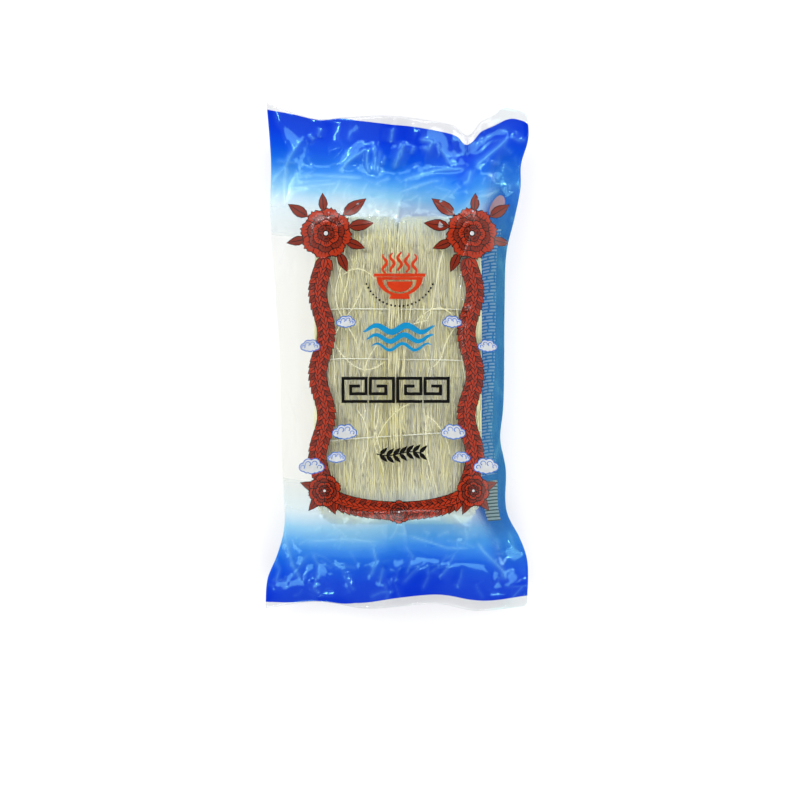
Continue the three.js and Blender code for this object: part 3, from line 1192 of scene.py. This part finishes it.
def strandLoop(middleX, across, depth, rng):
    # one strand of a folded bundle: up its front, over the end, and down its back
    halfHeight = hankHeight(across, middleX) - depth
    halfLength = hankReach(across, middleX) - depth - abs(rng.normal(0, 0.7 * mm))
    endDepth = min(hank["endDepth"] * rng.uniform(0.85, 1.1), halfHeight * 1.2)
    straight = np.linspace(-1, 1, noodle["straightPoints"]) * (halfLength - endDepth)
    flat = np.full(len(straight), halfHeight)
    turn = np.linspace(0, math.pi, noodle["endPoints"] + 2)[1:-1]
    y = np.concatenate([straight, halfLength - endDepth + np.sin(turn) * endDepth,
                        -straight, endDepth - halfLength - np.sin(turn) * endDepth])
    z = np.concatenate([flat, np.cos(turn) * halfHeight, -flat, -np.cos(turn) * halfHeight])
    share = np.arange(len(y)) / len(y) * 2 * math.pi
    reach = noodle["wander"] * (2.4 if rng.random() < noodle["unruly"] else 1)
    x = across * hank["halfWidth"] + wobble(share, [(k, reach / k ** 0.5) for k in range(3, 17)], rng)
    x = middleX + np.clip(x, -hank["halfWidth"], hank["halfWidth"])
    lift = wobble(share, [(k, 0.15 * mm) for k in (2, 4, 7)], rng)
    return np.stack([x, y + hank["middleY"], z * (1 + lift / 0.03) + hank["middleZ"]], 1)


def keepInFilm(paths, radius):
    gap = radius + noodle["filmGap"]
    for point in paths.reshape(-1, 3):
        roof, ground = (heightAt(filmTree, point[0], point[1], above) for above in (True, False))
        if roof is not None:
            point[2] = max(min(point[2], roof - gap), ground + gap)
    return paths


def makeHank(name, middleX, rng):
    edge = 1 - noodle["radius"] / hank["halfWidth"]
    places = []
    for depth in noodle["layers"]:
        count = int(2 * hank["halfWidth"] / noodle["pitch"])
        for place in np.linspace(-edge, edge, count):
            places.append((place + rng.uniform(-0.4, 0.4) * 2 / count, depth))
    for depth in np.arange(max(noodle["layers"]), noodle["sideDepth"], noodle["sideStep"]):
        for side in (-1, 1):
            for inset in (0.2 * mm, 1.0 * mm):
                places.append((side * (edge - inset / hank["halfWidth"]), depth))
    loops = [strandLoop(middleX, float(np.clip(across, -edge, edge)), depth, rng)
             for across, depth in places]
    paths = keepInFilm(np.array(loops), noodle["radius"])
    tones = rng.uniform(0, 1, len(paths))
    return sweepTubes(name, paths, noodle["radius"], noodle["sides"], tones, True, np.array([1.0, 0, 0]))


def makeLooseStrands(rng):
    # strands that cross the others just under the film
    share = np.linspace(-0.5, 0.5, 22)
    ways = []
    for places in noodle["crossing"]:
        reached = np.linspace(-0.5, 0.5, len(places))
        curve = [np.polyval(np.polyfit(reached, values, 2), share) * mm for values in zip(*places)]
        ways.append((curve, 0))
    (left, right), (low, high) = noodle["looseArea"]
    for kind in (noodle["inGroove"], noodle["anywhere"]):
        count = len(ways) + kind["count"]
        while len(ways) < count:
            length = rng.uniform(*kind["length"])
            heading = rng.normal(0, kind["lean"]) + kind["swing"] * np.sin(share * rng.uniform(4, 12))
            heading = heading + rng.normal(0, kind["bend"]) * share * length
            step = length / len(share)
            x = rng.uniform(*kind["x"]) + np.cumsum(np.sin(heading)) * step
            y = rng.uniform(*noodle["looseStart"]) + np.cumsum(np.cos(heading)) * step
            if x.min() > left and x.max() < right and y.min() > low and y.max() < high:
                ways.append(((x, y), rng.uniform(0, kind["drop"]) * mm if kind["drop"] else 0))
    paths = []
    for (x, y), drop in ways:
        sunk = np.abs(share * 2) ** 6 * 1.6 * mm + drop
        z = np.array([heightAt(filmTree, *place) for place in zip(x, y)])
        paths.append(np.stack([x, y, z - noodle["looseRadius"] - noodle["filmGap"] - sunk], 1))
    tones = rng.uniform(0.6, 1, len(paths))
    return sweepTubes("looseStrands", paths, noodle["looseRadius"], noodle["sides"], tones, False,
                      np.array([0, 0, 1.0]))


ties = {
    "radius": 0.00042,
    "sides": 6,
    "points": 120,
    "halfWidth": 0.0634,
    "middleX": 0.0007,
    # place along the bag at the left and the right of the bundles
    "places": [(0.0358, 0.0352), (-0.0015, -0.0032), (-0.0640, -0.0560)],
    "roundness": 9.0,
    "colour": (228, 229, 212),
}


def makeTies():
    turn = np.linspace(0, 2 * math.pi, ties["points"], endpoint=False)
    wide, high = (rounded(value, 2 / ties["roundness"]) for value in (np.cos(turn), np.sin(turn)))
    paths = []
    for left, right in ties["places"]:
        y = left + (right - left) * (wide + 1) / 2 + 0.5 * mm * np.sin(5 * turn)
        paths.append(np.stack([ties["middleX"] + wide * ties["halfWidth"], y,
                               hank["middleZ"] + high * (hank["halfHeight"] + 0.6 * mm)], 1))
    paths = keepInFilm(np.array(paths), ties["radius"])
    return sweepTubes("tieThreads", paths, ties["radius"], ties["sides"], np.ones(len(paths)), True,
                      np.array([0, 1.0, 0]))


def noodleMaterial(name, colours, roughness):
    material, tree = newMaterial(name)
    place = addNode(tree, "TexCoord").outputs["Object"]
    tone = addNode(tree, "Attribute", attribute_name="tone").outputs["Fac"]
    mixed = mathNode(tree, "MULTIPLY", tone, noodle["toneShare"])
    for scale in noodle["patches"]:
        stretched = output(tree, "Mapping", {0: place, "Scale": scale})
        noise = output(tree, "TexNoise", {"Vector": stretched, "Scale": 1.0, "Detail": 2.0})
        mixed = mathNode(tree, "ADD", mixed, mathNode(tree, "MULTIPLY", noise, noodle["patchShare"]))
    colour = rampNode(tree, mixed, inkStops(zip((0.25, 0.5, 0.75), colours)))
    principled(tree, {"Base Color": colour, "Roughness": roughness, "Subsurface Weight": 0.8,
                      "Subsurface Radius": (1.0, 0.95, 0.7), "Subsurface Scale": 0.002})
    return material


strandMaterial = noodleMaterial("driedNoodle", noodle["colours"], 0.5)
coreMaterial = noodleMaterial("packedNoodle", noodle["coreColours"], 0.6)
rng = np.random.default_rng(noodle["seed"])
for label, middleX in zip(("Left", "Right"), hank["middlesX"]):
    finishPiece(makeHank("noodles" + label, middleX, rng), strandMaterial)
    core = hankSolid("noodleCore" + label, middleX, noodle["coreShrink"])
    addAttribute(core, "tone", np.full(len(core.data.vertices), noodle["coreTone"]))
    finishPiece(core, coreMaterial)
finishPiece(makeLooseStrands(rng), strandMaterial)
finishPiece(makeTies(), plainMaterial("cottonTie", ties["colour"], 90.0, 0.6))
print("noodles made")
